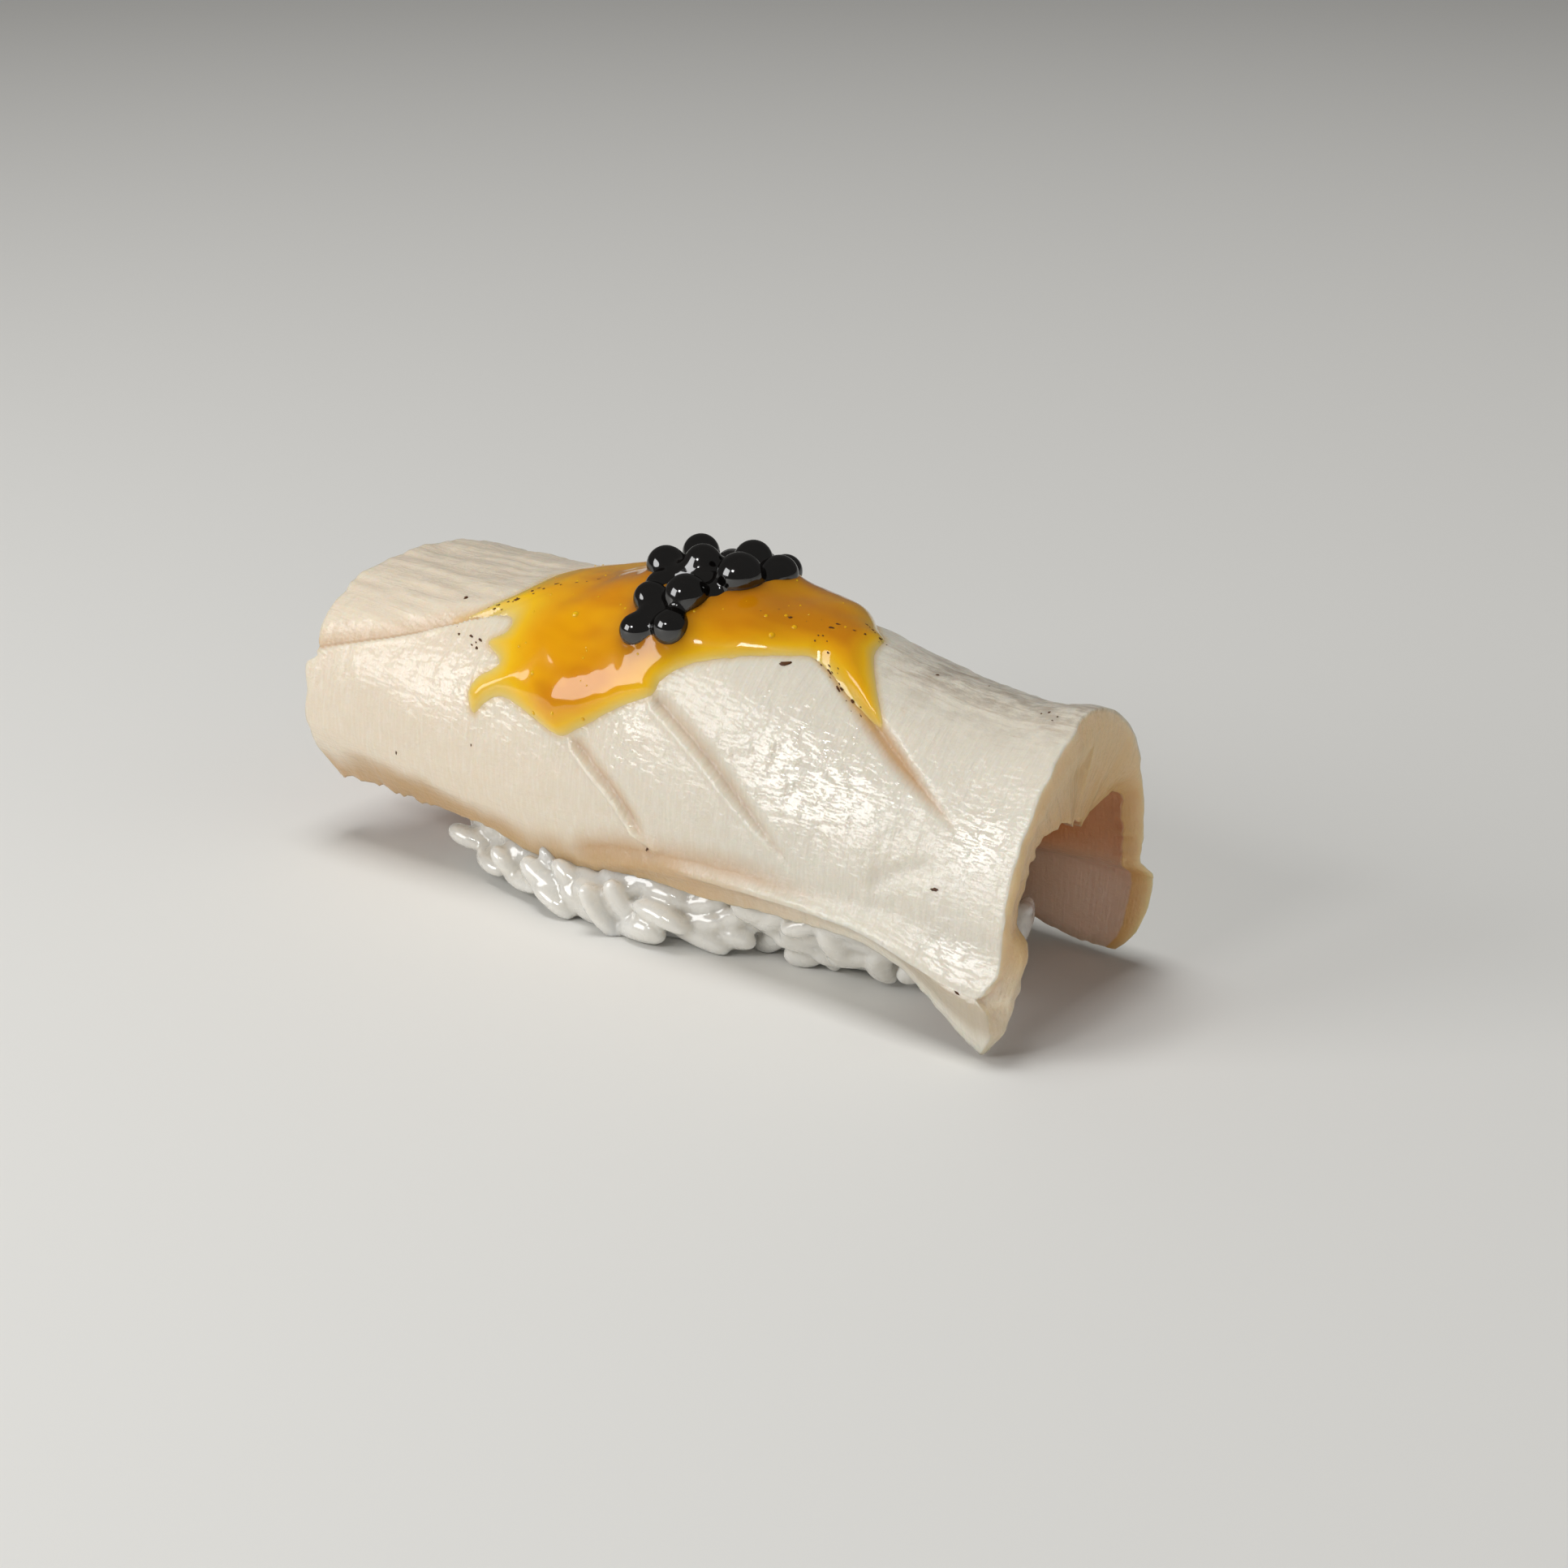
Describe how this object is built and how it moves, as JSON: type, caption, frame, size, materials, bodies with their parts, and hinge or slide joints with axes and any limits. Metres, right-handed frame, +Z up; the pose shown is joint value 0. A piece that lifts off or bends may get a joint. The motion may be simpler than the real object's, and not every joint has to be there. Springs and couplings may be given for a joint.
{
  "type": "butterfish nigiri",
  "caption": "Butterfish nigiri: a long scored slice of pale fish draped over a pressed block of rice, topped with amber glaze and a cluster of black roe.",
  "frame": {"origin": "centre of the bounding box at the surface that the rice stands on", "axes": "+X along the slice towards its open near end, -Y the side shown, +Z up"},
  "size_m": [0.0782, 0.0308, 0.0338],
  "materials": {
    "rice": "cooked rice, moist and slightly translucent",
    "fish": "moist raw fish, cream with tan cuts",
    "glaze": "wet clear amber sauce",
    "caviar": "wet glossy black roe"
  },
  "bodies": {
    "root": {"rice": "rice", "fish": "fish", "glaze": "glaze", "caviar": "caviar"}
  },
  "joints": []
}
